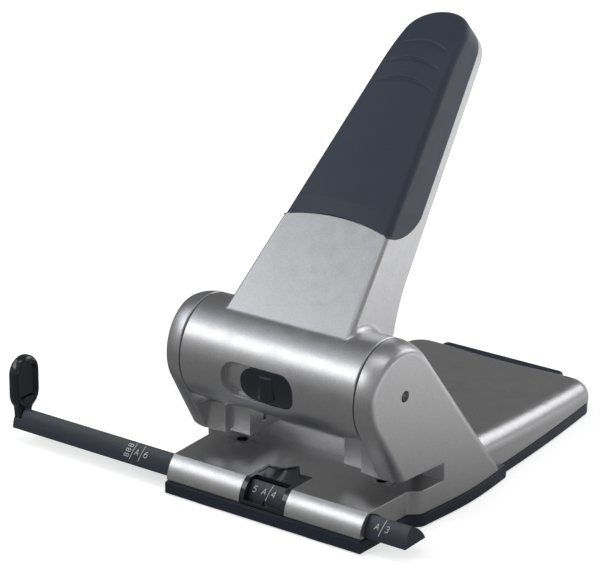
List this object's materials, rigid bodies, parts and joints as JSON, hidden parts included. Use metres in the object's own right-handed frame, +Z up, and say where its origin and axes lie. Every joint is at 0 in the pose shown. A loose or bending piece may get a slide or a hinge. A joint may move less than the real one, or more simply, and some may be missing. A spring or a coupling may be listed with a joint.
{
  "type": "hole punch",
  "caption": "Heavy-duty desk hole punch with a long lever, twin punch pins, sliding paper guide, display window, lever lock and chip drawer.",
  "frame": {"origin": "on the table top, under the lever's pivot axis and midway between the two punch pins", "axes": "+X along the pivot and the paper guide, +Y from the paper edge to the rear, +Z up"},
  "size_m": [0.231, 0.2112, 0.2099],
  "materials": {
    "silver_paint": "satin metallic silver paint on cast zinc",
    "grip_plastic": "soft-touch blue-grey moulding",
    "frame_plastic": "dark blue-grey moulded plastic",
    "rail_plastic": "satin dark grey moulding",
    "gloss_plastic": "glossy near-black moulding",
    "steel": "ground hardened steel",
    "spring_steel": "drawn spring wire",
    "bronze": "sintered bronze",
    "rubber": "black rubber"
  },
  "bodies": {
    "base": {"base_casting": "silver_paint", "window_frame": "gloss_plastic", "base_frame": "frame_plastic", "rubber_pad_front": "rubber", "rubber_pad_rear": "rubber", "base_screws": "steel", "pivot_axle": "steel", "die_insert_left": "steel", "die_insert_right": "steel", "punch_guide_sleeve_left": "steel", "punch_guide_sleeve_right": "steel", "rail_detent_spring": "spring_steel"},
    "lever": {"lever_casting": "silver_paint", "grip_cover": "grip_plastic", "handle_back_cover": "frame_plastic", "drive_cam_left": "steel", "drive_cam_right": "steel", "bearing_bush_left": "bronze", "bearing_bush_right": "bronze"},
    "punch_left": {"punch_pin_left": "steel", "pin_collar_left": "steel", "return_spring_left": "spring_steel"},
    "punch_right": {"punch_pin_right": "steel", "pin_collar_right": "steel", "return_spring_right": "spring_steel"},
    "lock": {"lock_knob": "gloss_plastic", "lock_bolt": "steel"},
    "guide": {"guide_rail": "rail_plastic", "paper_stop": "gloss_plastic"},
    "drawer": {"chip_drawer": "frame_plastic"}
  },
  "joints": [
    {"name": "lever_pivot", "type": "hinge", "parent": "base", "child": "lever", "pos_m": [0, 0, 0.069], "axis": [-1, 0, 0], "range_deg": [0, 53.3], "stiffness_Nm_per_rad": 0.9, "springref_deg": -63.03},
    {"name": "punch_stroke_left", "type": "slide", "parent": "base", "child": "punch_left", "axis": [0, 0, -1], "range_m": [0, 0.0121], "deforming": ["return_spring_left"]},
    {"name": "punch_stroke_right", "type": "slide", "parent": "base", "child": "punch_right", "axis": [0, 0, -1], "range_m": [0, 0.0121], "deforming": ["return_spring_right"]},
    {"name": "lock_slide", "type": "slide", "parent": "lever", "child": "lock", "axis": [-1, 0, 0], "range_m": [0, 0.0096]},
    {"name": "guide_slide", "type": "slide", "parent": "base", "child": "guide", "axis": [1, 0, 0], "range_m": [-0.0615, 0.085]},
    {"name": "drawer_slide", "type": "slide", "parent": "base", "child": "drawer", "axis": [0, 1, 0], "range_m": [0, 0.12]}
  ],
  "couplings": [
    {"joint": "punch_stroke_left", "follows": "lever_pivot", "m_per_rad": 0.013},
    {"joint": "punch_stroke_right", "follows": "lever_pivot", "m_per_rad": 0.013}
  ]
}
